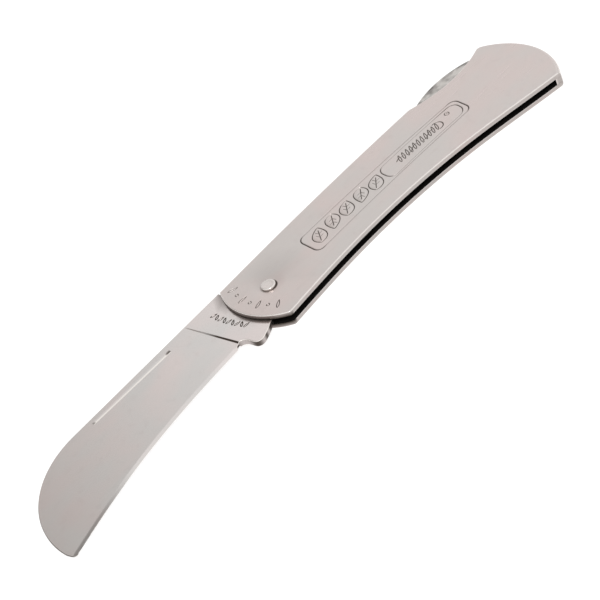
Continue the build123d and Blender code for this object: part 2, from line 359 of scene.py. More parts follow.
class Surface:
    """Collects faces in millimetres and makes one piece of them."""

    def __init__(self):
        self.points = []
        self.faces = []
        self.dark = []
        self.painted_sheen = []
        self.painted_shade = []

    # Each point carries a painted highlight value and a painted shade value for its colour
    def add(self, plan, heights, painted_sheen=0.0, painted_shade=0.0):
        """Adds points and returns their numbers."""
        first = len(self.points)
        plan = np.asarray(plan, complex) + PIVOT
        heights = np.broadcast_to(heights, plan.shape)
        painted_sheen = np.broadcast_to(painted_sheen, plan.shape)
        painted_shade = np.broadcast_to(painted_shade, plan.shape)
        for place, height, sheen, shade in zip(plan, heights, painted_sheen, painted_shade):
            self.points.append((place.real * MM, place.imag * MM, float(height) * MM))
            self.painted_sheen.append(float(sheen))
            self.painted_shade.append(float(shade))
        return list(range(first, len(self.points)))

    def strip(self, rows, closed=True, dark=False):
        """Faces between rows of points."""
        for low, high in zip(rows, rows[1:]):
            count = len(low)
            for i in range(count if closed else count - 1):
                j = (i + 1) % count
                self.faces.append((low[i], low[j], high[j], high[i]))
                self.dark.append(dark)

    def fill(self, border, holes, lines, height, dark=False, painted_sheen=None, painted_shade=None):
        """Triangles over a plan area, with edges along every line; height gives each point's level."""
        places = []
        edges = []
        for line, closed in [(border, True)] + [(hole, True) for hole in holes] + lines:
            first = len(places)
            places += [Vector((place.real, place.imag)) for place in line]
            edges += [(first + i, first + i + 1) for i in range(len(line) - 1)]
            if closed:
                edges.append((first + len(line) - 1, first))
        out = delaunay_2d_cdt(places, edges, [], 0, 1e-4)
        plan = np.array([complex(place.x, place.y) for place in out[0]])
        triangles = np.array([face[:] for face in out[2]])
        middles = plan[triangles].mean(1)
        kept = within(middles, border)
        for hole in holes:
            kept &= ~within(middles, hole)
        numbers = self.add(plan, height(plan), painted_sheen(plan) if painted_sheen else 0.0, painted_shade(plan) if painted_shade else 0.0)
        for a, b, c in triangles[kept]:
            self.faces.append((numbers[a], numbers[b], numbers[c]))
            self.dark.append(dark)

    def piece(self, name, materials, sharp=38):
        mesh = bpy.data.meshes.new(name)
        mesh.from_pydata(self.points, [], self.faces)
        for word, values in (("painted_sheen", self.painted_sheen), ("painted_shade", self.painted_shade)):
            mesh.attributes.new(word, "FLOAT", "POINT").data.foreach_set("value", values)
        mesh.polygons.foreach_set("material_index", [int(dark) for dark in self.dark])
        shape = bmesh.new()
        shape.from_mesh(mesh)
        bmesh.ops.remove_doubles(shape, verts=shape.verts, dist=2e-6)
        loose = [point for point in shape.verts if not point.link_faces]
        bmesh.ops.delete(shape, geom=loose, context="VERTS")
        bmesh.ops.recalc_face_normals(shape, faces=shape.faces)
        shape.to_mesh(mesh)
        shape.free()
        for material in materials:
            mesh.materials.append(material)
        mesh.polygons.foreach_set("use_smooth", [True] * len(mesh.polygons))
        mesh.set_sharp_from_angle(angle=radians(sharp))
        return new_object(name, mesh)


def settle(obj, body, slot, node):
    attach(obj, body)
    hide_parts(node)


# Grooves: fine lines pressed into a face, each as (centre line, closed, half width, depth)

GUARD = 1.3


def groove_lines(grooves):
    """Lines that a face needs so that its grooves come out smooth."""
    lines = []
    for line, closed, half, _ in grooves:
        lines.append((line, closed))
        for share in (0.33, 0.66, 1.0, GUARD):
            if closed:
                side = normals(line, True) * half * share
                lines.append((line + side, True))
                lines.append((line - side, True))
            else:
                lines.append((around(line, half * share), True))
    return lines


def groove_depth(points, grooves):
    depth = np.zeros(len(points))
    for line, closed, half, deepest in grooves:
        reach = half * GUARD
        near = (
            (points.real > line.real.min() - reach) & (points.real < line.real.max() + reach)
            & (points.imag > line.imag.min() - reach) & (points.imag < line.imag.max() + reach)
        )
        if near.any():
            share = np.clip(distance_to(points[near], line, closed) / half, 0, 1)
            depth[near] = np.maximum(depth[near], deepest * (1 + np.cos(pi * share)) / 2)
    return depth


# Nodes

def feed(tree, node, inputs):
    """Feeds a node's inputs, by name or number, from plain values or from other nodes' outputs."""
    for key, value in inputs.items():
        if isinstance(value, bpy.types.NodeSocket):
            tree.links.new(value, node.inputs[key])
        else:
            node.inputs[key].default_value = value


def add_node(tree, kind, inputs=None, **settings):
    node = tree.nodes.new(kind)
    for word, value in settings.items():
        setattr(node, word, value)
    feed(tree, node, inputs or {})
    return node


def calculate(tree, operation, a, b=None):
    inputs = {0: a} if b is None else {0: a, 1: b}
    return add_node(tree, "ShaderNodeMath", inputs, operation=operation).outputs[0]


def noise(tree, scale, stretch, detail, rough):
    where = add_node(tree, "ShaderNodeTexCoord").outputs["Object"]
    mapping = add_node(tree, "ShaderNodeMapping", {"Vector": where, "Scale": stretch})
    texture = add_node(tree, "ShaderNodeTexNoise", {
        "Vector": mapping.outputs["Vector"], "Scale": scale, "Detail": detail, "Roughness": rough,
    })
    return texture.outputs["Fac"]


def remap(tree, value, low, high, to_low, to_high):
    node = add_node(tree, "ShaderNodeMapRange", {
        "Value": value, "From Min": low, "From Max": high, "To Min": to_low, "To Max": to_high,
    })
    return node.outputs["Result"]


def mix(tree, share, first, second):
    """Blends two colours, each a plain one or another node's output."""
    inputs = {"Factor": share}
    for number, colour in ((6, first), (7, second)):
        inputs[number] = (*colour, 1.0) if isinstance(colour, tuple) else colour
    return add_node(tree, "ShaderNodeMix", inputs, data_type="RGBA").outputs[2]


def attribute(tree, word):
    return add_node(tree, "ShaderNodeAttribute", attribute_name=word).outputs["Fac"]


# Materials

# The colour that painted shade darkens the steel towards
SHADE_COLOUR = (0.06, 0.046, 0.037)


def new_material(name):
    material = bpy.data.materials.new(name)
    material.use_nodes = True
    tree = material.node_tree
    return material, tree, tree.nodes["Principled BSDF"]


def steel(name, warm, cool, edge, rough, grain, grain_scale, ripple, cloud_scale=70.0):
    """Steel with a brushed grain, cloudy tints, painted highlights on edges and painted shade in grooves and
    shaded places.
    """
    material, tree, shader = new_material(name)
    painted_sheen = attribute(tree, "painted_sheen")
    painted_shade = attribute(tree, "painted_shade")
    clouds = noise(tree, cloud_scale, (1.0, 1.6, 1.6), 2.0, 0.45)
    speckle = noise(tree, 420.0, (1.0, 1.0, 1.0), 2.0, 0.5)
    brushed = noise(tree, grain_scale, (0.04, 1.0, 1.0), 4.0, 0.6)
    waves = noise(tree, 95.0, (1.0, 1.0, 1.0), 1.0, 0.4)

    tinted = mix(tree, remap(tree, clouds, 0.38, 0.62, 0.0, 1.0), warm, cool)
    specks = remap(tree, speckle, 0.58, 0.75, 0.0, 0.25)
    spotted = mix(tree, specks, tinted, tuple(0.86 * c for c in warm))
    # Painted highlights brighten towards the edge colour, painted shade darkens towards the shade colour
    colour = mix(tree, painted_shade, mix(tree, painted_sheen, spotted, edge), SHADE_COLOUR)

    base = remap(tree, brushed, 0.3, 0.7, rough - grain, rough + grain)
    total = calculate(tree, "ADD", base, remap(tree, clouds, 0.3, 0.7, -0.03, 0.03))
    total = calculate(tree, "SUBTRACT", total, calculate(tree, "MULTIPLY", painted_sheen, 0.12))
    total = calculate(tree, "ADD", total, calculate(tree, "MULTIPLY", painted_shade, 0.25))

    grain_lift = calculate(tree, "MULTIPLY", brushed, 0.004)
    lift = calculate(tree, "ADD", grain_lift, calculate(tree, "MULTIPLY", waves, ripple))
    bump = add_node(tree, "ShaderNodeBump", {"Strength": 1.0, "Distance": MM, "Height": lift})
    feed(tree, shader, {
        "Metallic": 1.0, "Base Color": colour, "Roughness": total, "Normal": bump.outputs["Normal"],
    })
    return material


handle_finish = steel(
    "satin_rolled_steel", (0.692, 0.608, 0.583), (0.668, 0.624, 0.6), (0.84, 0.79, 0.76),
    rough=0.33, grain=0.05, grain_scale=2600.0, ripple=0.02,
)
blade_finish = steel(
    "polished_blade_steel", (0.76, 0.688, 0.668), (0.718, 0.69, 0.672), (0.98, 0.93, 0.88),
    rough=0.2, grain=0.02, grain_scale=3200.0, ripple=0.006,
)
rivet_finish = steel(
    "bright_rivet_steel", (0.74, 0.68, 0.65), (0.7, 0.66, 0.635), (0.88, 0.85, 0.82),
    rough=0.27, grain=0.04, grain_scale=1500.0, ripple=0.03,
)
lever_finish = steel(
    "tumbled_lever_steel", (0.2, 0.185, 0.175), (0.66, 0.63, 0.6), (0.62, 0.59, 0.56),
    rough=0.36, grain=0.08, grain_scale=1200.0, ripple=0.1, cloud_scale=230.0,
)
spring_finish = steel(
    "blued_spring_steel", (0.2, 0.19, 0.2), (0.26, 0.25, 0.25), (0.4, 0.38, 0.37),
    rough=0.33, grain=0.05, grain_scale=1800.0, ripple=0.02,
)


def inner_shade_finish():
    """The inside of the fold and the hole walls, painted near black as shade, with faint patches."""
    material, tree, shader = new_material("shaded_inner_steel")
    scale = noise(tree, 700.0, (0.3, 1.0, 1.0), 4.0, 0.6)
    patches = remap(tree, scale, 0.35, 0.65, 0.0, 1.0)
    feed(tree, shader, {
        "Metallic": 0.0, "Specular IOR Level": 0.12,
        "Base Color": mix(tree, patches, (0.003, 0.0026, 0.0022), (0.008, 0.007, 0.006)),
        "Roughness": remap(tree, scale, 0.3, 0.7, 0.55, 0.8),
    })
    return material


inner_shade = inner_shade_finish()


# Geometry Nodes: what the two trees share, then rows of small leaf shapes along a bend

def shape_tree(name, inputs, output):
    """A geometry tree with its inputs: the tree, their identifiers by name, and their outlets."""
    tree = bpy.data.node_groups.new(name, "GeometryNodeTree")
    sockets = {}
    for word, kind, value in inputs:
        socket = tree.interface.new_socket(word, in_out="INPUT", socket_type="NodeSocket" + kind)
        if value is not None:
            socket.default_value = value
        sockets[word] = socket.identifier
    tree.interface.new_socket(output, in_out="OUTPUT", socket_type="NodeSocketGeometry")
    return tree, sockets, add_node(tree, "NodeGroupInput").outputs


def close_tree(tree, shape, finish):
    """Makes the tree's shape real, gives it its material and hands it out."""
    real = add_node(tree, "GeometryNodeRealizeInstances", {"Geometry": shape})
    finished = add_node(
        tree, "GeometryNodeSetMaterial", {"Geometry": real.outputs["Geometry"], "Material": finish}
    )
    add_node(tree, "NodeGroupOutput", {0: finished.outputs["Geometry"]})


def marks_tree():
    tree, sockets, given = shape_tree("marks_along_a_bend", (
        ("Start", "Vector", (0, 0, 0)),
        ("Middle", "Vector", (1, 0, 0)),
        ("End", "Vector", (2, 0, 0)),
        ("Count", "Int", 5),
        ("Mark Length", "Float", 4.0),
        ("Mark Width", "Float", 2.0),
        ("Lean", "Float", 1.2),
        ("Swing", "Float", 0.0),
        ("Mark Points", "Int", 28),
        ("Finish", "Material", None),
    ), "Marks")

    def calc(*terms):
        return calculate(tree, *terms)

    ends = {word: given[word] for word in ("Start", "Middle", "End")}
    path = add_node(tree, "GeometryNodeCurveQuadraticBezier", {"Resolution": 64, **ends})
    places = add_node(
        tree, "GeometryNodeCurveToPoints",
        {"Curve": path.outputs["Curve"], "Count": given["Count"]}, mode="COUNT",
    )

    # One mark: a round loop drawn out into an ovate leaf with pointed ends
    loop = add_node(
        tree, "GeometryNodeMeshCircle", {"Radius": 1.0, "Vertices": given["Mark Points"]}, fill_type="NONE"
    )
    place = add_node(tree, "GeometryNodeInputPosition").outputs["Position"]
    split = add_node(tree, "ShaderNodeSeparateXYZ", {"Vector": place})
    x, y = split.outputs["X"], split.outputs["Y"]
    pinched = calc("MULTIPLY", calc("SIGN", y), calc("POWER", calc("ABSOLUTE", y), 1.7))
    belly = calc("SUBTRACT", 1.0, calc("MULTIPLY", x, 0.3))
    half_width = calc("MULTIPLY", given["Mark Width"], 0.5)
    joined = add_node(tree, "ShaderNodeCombineXYZ", {
        "X": calc("MULTIPLY", x, calc("MULTIPLY", given["Mark Length"], 0.5)),
        "Y": calc("MULTIPLY", calc("MULTIPLY", pinched, belly), half_width),
    })
    mark = add_node(tree, "GeometryNodeSetPosition", {
        "Geometry": loop.outputs["Mesh"], "Position": joined.outputs["Vector"],
    })

    # Each mark leans from the path's direction, every second one swung round further
    heading = add_node(
        tree, "FunctionNodeAlignRotationToVector", {"Vector": places.outputs["Tangent"]}, axis="X"
    )
    odd = calc("MODULO", add_node(tree, "GeometryNodeInputIndex").outputs["Index"], 2.0)
    angle = calc("ADD", given["Lean"], calc("MULTIPLY", odd, given["Swing"]))
    euler = add_node(tree, "ShaderNodeCombineXYZ", {"Z": angle})
    lean = add_node(tree, "FunctionNodeEulerToRotation", {"Euler": euler.outputs["Vector"]})
    turned = add_node(tree, "FunctionNodeRotateRotation", {
        "Rotation": heading.outputs["Rotation"], "Rotate By": lean.outputs["Rotation"],
    }, rotation_space="LOCAL")
    placed = add_node(tree, "GeometryNodeInstanceOnPoints", {
        "Points": places.outputs["Points"], "Instance": mark.outputs["Geometry"],
        "Rotation": turned.outputs["Rotation"],
    })
    close_tree(tree, placed.outputs["Instances"], given["Finish"])
    return tree, sockets


def grown(name, tree, sockets, values, mesh=None):
    """Runs a node tree and returns its result as a plain mesh."""
    holder = new_object(name, mesh or bpy.data.meshes.new(name))
    modifier = holder.modifiers.new(name, "NODES")
    modifier.node_group = tree
    for word, value in values.items():
        modifier[sockets[word]] = value
    bpy.context.view_layer.update()
    graph = bpy.context.evaluated_depsgraph_get()
    result = bpy.data.meshes.new_from_object(holder.evaluated_get(graph))
    bpy.data.objects.remove(holder)
    return result


leaf_tree, leaf_sockets = marks_tree()


def row_of_marks(name, path, count, length, width, lean, swing=0.0, points=28):
    """Outlines of leaf-shaped marks along a bend, as closed plan lines."""
    ends = zip(("Start", "Middle", "End"), path)
    values = {word: (place.real, place.imag, 0.0) for word, place in ends}
    values.update({
        "Count": count, "Mark Length": length, "Mark Width": width,
        "Lean": lean, "Swing": swing, "Mark Points": points, "Finish": handle_finish,
    })
    mesh = grown(name, leaf_tree, leaf_sockets, values)
    plan = np.array([complex(point.co.x, point.co.y) for point in mesh.vertices])
    bpy.data.meshes.remove(mesh)
    return [plan[i:i + points] for i in range(0, len(plan), points)]


# Handle shell

def fold_inset(depth):
    return FOLD_RADIUS - sqrt(max(FOLD_RADIUS ** 2 - (FOLD_RADIUS - depth) ** 2, 0))


def edge_inset(depth):
    if depth < EDGE_ROUND:
        return EDGE_ROUND - sqrt(EDGE_ROUND ** 2 - (EDGE_ROUND - depth) ** 2)
    rest = SHEET - depth
    if rest < LIP_ROUND:
        return LIP_ROUND - sqrt(LIP_ROUND ** 2 - (LIP_ROUND - rest) ** 2)
    return 0.0


spine_circle = circle_through(SPINE_FRONT, SPINE_MIDDLE, SPINE_BACK)
butt_circle = circle_through(SPINE_BACK, BUTT_MIDDLE, BUTT_FOOT)
hollow_circle = circle_through(*HOLLOW)
mouth_circle = circle_through(SLOT_FRONT, MOUTH, SPINE_FRONT)
corner_centre = meeting_point(
    (spine_circle[0], spine_circle[1] - SPINE_CORNER),
    (butt_circle[0], butt_circle[1] - SPINE_CORNER),
    SPINE_BACK,
)
slot_curve = curve_through([BUTT_FOOT, *SLOT_POINTS, SLOT_FRONT], 400)
slot_curve = np.concatenate([[2 * slot_curve[0] - slot_curve[3]], slot_curve])
slot_side = normals(slot_curve)


def on_circle(circle, towards):
    centre, radius = circle
    return centre + (towards - centre) / abs(towards - centre) * radius


def cheek_outline(fold, edge):
    """The cheek's outline in its stretches, drawn in by fold at the wall and by edge elsewhere."""
    slot_line = slot_curve - slot_side * edge
    foot, _, slot_line = crossing(slot_line, butt_circle[0], butt_circle[1] - fold)
    slot_line = np.concatenate([[foot], slot_line])
    mouth = (mouth_circle[0], mouth_circle[1] - edge)
    front = meeting_point(mouth, (spine_circle[0], spine_circle[1] - fold), SPINE_FRONT)

    # The fold runs along the spine, round the corner and down the butt; the hollow cuts into it
    corner = (corner_centre, SPINE_CORNER - fold)
    leaves_spine = on_circle(corner, 2 * corner_centre - spine_circle[0])
    meets_butt = on_circle(corner, 2 * corner_centre - butt_circle[0])
    fold_line = np.concatenate([
        arc(spine_circle[0], front, leaves_spine, 500)[:-1],
        arc(corner_centre, leaves_spine, meets_butt, 24)[:-1],
        arc(butt_circle[0], meets_butt, foot, 120),
    ])
    hollow_radius = hollow_circle[1] + edge
    starts, spine, rest = crossing(fold_line, hollow_circle[0], hollow_radius)
    ends, _, butt = crossing(rest[2:], hollow_circle[0], hollow_radius)

    # The slot's front corner is rounded into the mouth
    inner = slot_curve - slot_side * SLOT_CORNER
    inner = inner[inner.real < mouth_circle[0].real]
    centre, _, _ = crossing(inner, mouth_circle[0], mouth_circle[1] - SLOT_CORNER)
    corner = (centre, SLOT_CORNER - edge)
    turn_start = on_circle(corner, centre + normals([centre, centre + SLOT_FRONT - SLOT_POINTS[-1]])[0])
    turn_end = on_circle(corner, 2 * centre - mouth_circle[0])
    slot_line = slot_line[slot_line.real > turn_start.real + 0.3]
    return [
        spread(np.append(spine, starts), 110),
        arc(hollow_circle[0], starts, ends, 50),
        spread(np.concatenate([[ends], butt]), 130),
        spread(np.append(slot_line, turn_start), 160),
        arc(centre, turn_start, turn_end, 8),
        arc(mouth_circle[0], turn_end, front, 50),
    ]


def closed_outline(stretches):
    return np.concatenate([stretch[:-1] for stretch in stretches])


def frame_line(corners, bow, rounding):
    """A closed frame of four corners with rounded ends, its long sides bowed like the handle."""
    t = np.linspace(0, 1, 14)
    bends = []
    for i, corner in enumerate(corners):
        before, after = corners[i - 1], corners[(i + 1) % 4]
        come = (before - corner) / abs(before - corner) * rounding
        leave = (after - corner) / abs(after - corner) * rounding
        first = (corner + come) * (1 - t) ** 3 + 3 * (corner + come * 0.42) * t * (1 - t) ** 2
        bends.append(first + 3 * (corner + leave * 0.42) * t ** 2 * (1 - t) + (corner + leave) * t ** 3)
    loop = []
    for i, bend in enumerate(bends):
        run = bends[(i + 1) % 4][0] - bend[-1]
        share = np.linspace(0, 1, max(2, int(abs(run) / 1.2)) + 1)[1:-1]
        loop += [bend, bend[-1] + run * share]
    loop = np.concatenate(loop)
    low, high = loop.real.min(), loop.real.max()
    place = (loop.real - low) / (high - low)
    return loop + 1j * bow * 4 * place * (1 - place)


panel_frame = frame_line(PANEL_CORNERS, PANEL_BOW, 1.9)
name_frame = frame_line(NAME_CORNERS, PANEL_BOW * 0.5, 2.3)


def handle_marks():
    """Everything pressed or stamped into the front cheek, and the outlines of the raised leaves."""
    grooves = [(panel_frame, True, 0.25, 0.15), (name_frame, True, 0.21, 0.13)]
    leaves = row_of_marks("panel_leaves", LEAF_PATH, 5, 5.8, 3.7, radians(52), radians(180))
    for leaf in leaves:
        base = leaf[len(leaf) // 2]
        way = leaf[0] - base
        grooves.append((leaf, True, 0.18, 0.15))
        grooves.append((np.linspace(base + way * 0.12, base + way * 0.8, 8), False, 0.17, 0.13))
        for share, side in ((0.34, 1), (0.34, -1), (0.56, 1), (0.56, -1)):
            root = base + way * share
            reach = way * 0.2 * np.exp(1j * side * 0.85)
            grooves.append((np.linspace(root, root + reach, 4), False, 0.13, 0.1))

    # A small wavy twig that ends in a curl, with seeds across it, and a ring mark
    x = np.linspace(TWIG_START, TWIG_END, 40)
    twig = x + 1j * (-0.9 - 0.085 * (x - TWIG_START) + 0.55 * np.sin((x - TWIG_START) * 1.15))
    grooves.append((twig, False, 0.17, 0.14))
    curl = TWIG_CURL + 1.5 * np.exp(1j * np.radians(np.linspace(-110, 100, 18)))
    grooves.append((curl, False, 0.2, 0.16))
    for seed in row_of_marks("twig_seeds", SEED_PATH, 11, 2.9, 0.6, radians(66), 0.0, 14):
        grooves.append((seed, True, 0.15, 0.13))
    grooves.append((ring(RING_MARK, 0.62, 18), True, 0.16, 0.14))
    grooves.append((ring(RING_MARK, 0.12, 8), True, 0.12, 0.1))

    # Strokes and small rings by turns round the front of the cheek
    stamps = row_of_marks("mouth_strokes", STROKE_PATH, 7, 2.6, 0.62, radians(90), 0.0, 14)
    for i, stroke in enumerate(stamps):
        if i % 2:
            grooves.append((ring(stroke.mean(), 0.4, 12), True, 0.15, 0.14))
        else:
            grooves.append((stroke, True, 0.15, 0.15))
    return grooves, leaves


def build_handle():
    body = Surface()
    grooves, leaves = handle_marks()

    def face_height(points):
        dip, reach, slope = PIVOT_DIP
        height = -groove_depth(points, grooves)
        height -= dip * soft((reach - np.abs(points)) / slope)
        for leaf in leaves:
            near = np.abs(points - leaf.mean()) < 3
            inside = near.copy()
            inside[near] = within(points[near], leaf)
            if inside.any():
                height[inside] += LEAF_RISE * soft(distance_to(points[inside], leaf, True) / 0.9)
        return THICK + height

    def face_shade(points):
        """Painted shade in the grooves, weakest along the panel's long sides, a painted shadow round the
        head, darkest on one side, and faint painted shade over the dip beside it.
        """
        grooved = np.clip(groove_depth(points, grooves) / 0.12, 0, 1)
        along = points.real
        at_ends = soft((17 - along) / 2) + soft((along - 67.5) / 1.5)
        middle = 0.35 - 0.0475 * (along - 14)
        within_panel = soft((2.6 - np.abs(points.imag - middle)) / 0.2)
        in_grooves = grooved * np.clip(0.4 + 0.6 * (at_ends + within_panel), 0, 1)
        shadow_side = np.clip((points * HEAD_SHADOW_SIDE.conjugate()).real / np.abs(points), 0, 1)
        around_head = soft((2.32 - np.abs(points)) / 0.25) * (0.35 + 0.65 * shadow_side)
        dip_shade = 0.12 * soft((5.5 - np.abs(points - 2.2 - 1.4j)) / 3.5)
        return np.max([in_grooves, around_head, dip_shade], axis=0)

    # Rows of points from the face, over the round of the fold and down to the inside of the sheet
    edge_turn = degrees(acos(1 - EDGE_ROUND / FOLD_RADIUS))
    turns = [*np.linspace(0, edge_turn, 7), *np.linspace(edge_turn, 80, 7)[1:]]
    depths = [FOLD_RADIUS * (1 - cos(radians(turn))) for turn in turns]
    depths += [SHEET - LIP_ROUND, SHEET - LIP_ROUND / 2, SHEET - LIP_ROUND / 6, SHEET]
    outlines = [cheek_outline(fold_inset(depth), edge_inset(depth)) for depth in depths]
    # Painted highlights along the round of the fold and along the top edge's round and the lip; cut_face
    # marks the cut faces that get painted shade
    fold_highlight = [0.3 * soft(2 * sin(radians(2 * min(turn, 90)))) for turn in turns] + [0.0] * 4
    edge_highlight = [
        soft(1.6 - abs(depth - EDGE_ROUND * 0.35) / 0.1) + soft(1 - (SHEET - depth) / 0.1)
        for depth in depths
    ]
    cut_face = [soft((depth - EDGE_ROUND * 0.7) / 0.1) * soft((SHEET - depth) / 0.08) for depth in depths]
    sides = []
    lip = outlines[-1]
    foot_count = int(np.argmax(butt_circle[1] - np.abs(lip[3] - butt_circle[0]) > BUTT_WALL))
    for front in (True, False):
        rows = []
        for depth, outline, fold_shine, sharp, cut in zip(depths, outlines, fold_highlight, edge_highlight, cut_face):
            deep = depth / SHEET
            painted_sheen, painted_shade = [], []
            for i, (part, (near, far)) in enumerate(zip(outline, CUT_FACE_SHADE)):
                # At the front corner and the mouth the inner part of the cut face is painted dark as the
                # shadow under the lip
                inner_edge = i in (4, 5) and deep > 0.7
                bright = fold_shine if i in WALL_STRETCHES else 0.0 if inner_edge else sharp
                painted_sheen.append(np.full(len(part) - 1, bright))
                painted_shade.append(np.full(len(part) - 1, far if inner_edge else cut * (near + (far - near) * deep)))
            # The foot's inner part gets painted shade in place of a highlight
            if deep > 0.7:
                painted_sheen[3][:foot_count + 1] = 0.0
                painted_shade[3][:foot_count + 1] = FOOT_SHADE
            height = THICK - depth if front else depth
            rows.append(body.add(closed_outline(outline), height, np.concatenate(painted_sheen), np.concatenate(painted_shade)))
        body.strip(rows)
        sides.append(rows[-1])

    # The folded wall, inside and out, with its four ends
    starts = np.cumsum([0] + [len(stretch) - 1 for stretch in lip])
    inner_lines = {}
    for i in WALL_STRETCHES:
        numbers = list(range(starts[i], starts[i + 1] + 1))
        outer = [[side[n % len(side)] for n in numbers] for side in sides]
        body.strip(outer, closed=False)
        wall = SHEET
        if i == 2:
            wall = SHEET + (BUTT_WALL - SHEET) * np.linspace(0, 1, len(lip[i]))
        inner_line = lip[i] - normals(lip[i]) * wall
        if i == 2:
            foot_end = lip[3][foot_count]
            inner_line = np.append(inner_line[np.abs(inner_line - foot_end) > 1.0], foot_end)
        inner_lines[i] = inner_line
        inner = [body.add(inner_line, height) for height in (THICK - SHEET, SHEET)]
        body.strip(inner, closed=False, dark=True)
        for end in (0, -1) if i == 0 else (0,):
            body.strip([[outer[0][end], inner[0][end]], [outer[1][end], inner[1][end]]], closed=False)
    foot = [[side[starts[3] + n] for n in range(foot_count + 1)] for side in sides]
    body.strip(foot, closed=False)

    # Faces, outside and inside, with the rivet's hole, its countersink and the pins' holes
    outer_face = closed_outline(outlines[0])
    guard = closed_outline(cheek_outline(FOLD_RADIUS + 0.12, EDGE_ROUND + 0.1))
    hole = ring(0, RIVET_SHANK + 0.05)
    sink = ring(0, SINK_RADIUS + PIN_PLAY)
    pins = [
        ring(LOCK_PIN, LOCK_PIN_RADIUS + PIN_PLAY),
        ring(SPRING_PIN, SPRING_PIN_RADIUS + PIN_PLAY),
    ]
    lines = groove_lines(grooves) + [(ring(0, radius, 48), True) for radius in HEAD_RINGS] + [(guard, True)]
    for leaf in leaves:
        lines += [(leaf.mean() + (leaf - leaf.mean()) * share, True) for share in (0.75, 0.55, 0.35)]
    body.fill(outer_face, [hole], lines, face_height, painted_shade=face_shade)
    body.fill(outer_face, [sink] + pins, [(guard, True)], level(0.0))

    inside = np.concatenate([
        inner_lines[0], lip[1], inner_lines[2], lip[3][foot_count + 1:-1], lip[4][:-1], lip[5],
    ])
    body.fill(inside, [hole], [], level(THICK - SHEET), dark=True)
    body.fill(inside, [hole] + pins, [], level(SHEET), dark=True)
    hole_top = float(face_height(hole[:1])[0])
    body.strip([body.add(hole, hole_top), body.add(hole, THICK - SHEET)], dark=True)
    body.strip([body.add(hole, SHEET), body.add(hole, SINK_DEPTH), body.add(sink, 0)], dark=True)
    for pin in pins:
        body.strip([body.add(pin, SHEET), body.add(pin, 0)], dark=True)
    obj = body.piece("folded_handle", [handle_finish, inner_shade])
    settle(obj, "handle", "handle_steel", "handle_shell")


# Flat pieces with a rounded outline

def plate(
    body, outline, middle, half_at, round_at, holes, side_shade, front_lines=(), cut=None, painted_shade=None, painted_sheen=None
):
    """A plate lying across the middle height: front and back faces, rounded edges and plain holes."""
    inward = normals(outline, True)
    rounding = round_at(outline)
    border = outline + inward * rounding
    half = half_at(border)
    rows = []
    for side in (1, -1):
        turns = (0, 15, 30, 45, 60, 75, 90)
        for turn in turns if side > 0 else turns[::-1]:
            inset = rounding * (1 - sin(radians(turn)))
            height = half - rounding * (1 - cos(radians(turn)))
            # Painted highlight on the rounded edges, strongest halfway round, and painted shade on the side
            # walls
            sheen = 0.8 * sin(radians(2 * turn))
            shade = side_shade(outline, turn)
            rows.append(body.add(outline + inward * inset, middle + side * height, sheen, shade))
    body.strip(rows)
    guard = (border + inward * 0.07, True)
    plain = [guard] + list(front_lines)
    cut = cut or level(0.0)
    loops = [ring(centre, radius) for centre, radius in holes]
    body.fill(
        border, loops, plain, lambda points: middle + half_at(points) - cut(points), painted_shade=painted_shade, painted_sheen=painted_sheen
    )
    body.fill(border, loops, plain, lambda points: middle - half_at(points), painted_sheen=painted_sheen)
    for loop in loops:
        body.strip([body.add(loop, middle + side * half_at(loop)) for side in (1, -1)])


# Blade

cutting_edge = curve_through([TIP, *EDGE_POINTS, HEEL], 160)


def blade_outline():
    """The blade's outline, counter-clockwise from the spine's step round the tip to the tang."""
    belly_centre = complex(BELLY_X, BLADE_RISE - BELLY_RADIUS)
    belly = arc(belly_centre, belly_centre + 1j * BELLY_RADIUS, belly_centre - BELLY_RADIUS, 90)
    step_top = complex(SPINE_STEP, BLADE_RISE)
    step_foot = complex(SPINE_STEP, SHOULDER.imag)
    edge = cutting_edge[cutting_edge.real > TIP.real + 1.2]
    tip = curve_through([belly[-1], TIP + 0.02 + 0.75j, TIP + 0.45 + 0.1j, edge[0]], 14)
    root = curve_through([HEEL, *CHOIL, *KICK], 100)
    waist = arc(0, *(WAIST_RADIUS * np.exp(1j * radians(turn)) for turn in (222, 280)), 16)
    rear = arc(0, TANG_RADIUS * np.exp(-1j * radians(60)), TANG_RADIUS + 0j, 16)
    right, left = (complex(x, sqrt(TANG_RADIUS ** 2 - x ** 2)) for x in (NOTCH_RIGHT, NOTCH_LEFT))
    notch = [right, complex(NOTCH_RIGHT, NOTCH_FLOOR), complex(NOTCH_LEFT, NOTCH_FLOOR), left]
    return np.concatenate([
        spread([step_top, belly[0]], 60)[:-1], belly[:-1], tip[:-1], edge[:-1], root, waist, rear[:-1],
        arc(0, TANG_RADIUS + 0j, notch[0], 20)[:-1], notch, arc(0, notch[-1], 1j * TANG_RADIUS, 6)[1:],
        spread([1j * TANG_RADIUS, SHOULDER], 8)[1:-1], spread([SHOULDER, step_foot], 3)[:-1],
        spread([step_foot, step_top], 6)[:-1],
    ])


def grind_line_x(points):
    top, low = GRIND_LINE
    return low.real + (points.imag - low.imag) * (top.real - low.real) / (top.imag - low.imag)


def blade_half(points):
    """Half the blade's thickness: flat at the tang, ground towards the edge, then the bevel."""
    flat = soft((points.real - grind_line_x(points)) / GRIND_RAMP + 0.5)
    ground = BLADE_HALF - tan(radians(GRIND_LEAN)) * (BLADE_RISE - points.imag)
    half = ground + (BLADE_HALF - ground) * flat
    cuts = points.real < HEEL.real + BEVEL_WIDTH
    away = distance_to(points[cuts], cutting_edge, False) / BEVEL_WIDTH
    half[cuts] = np.where(away < 1, EDGE_HALF + (half[cuts] - EDGE_HALF) * away, half[cuts])
    return half


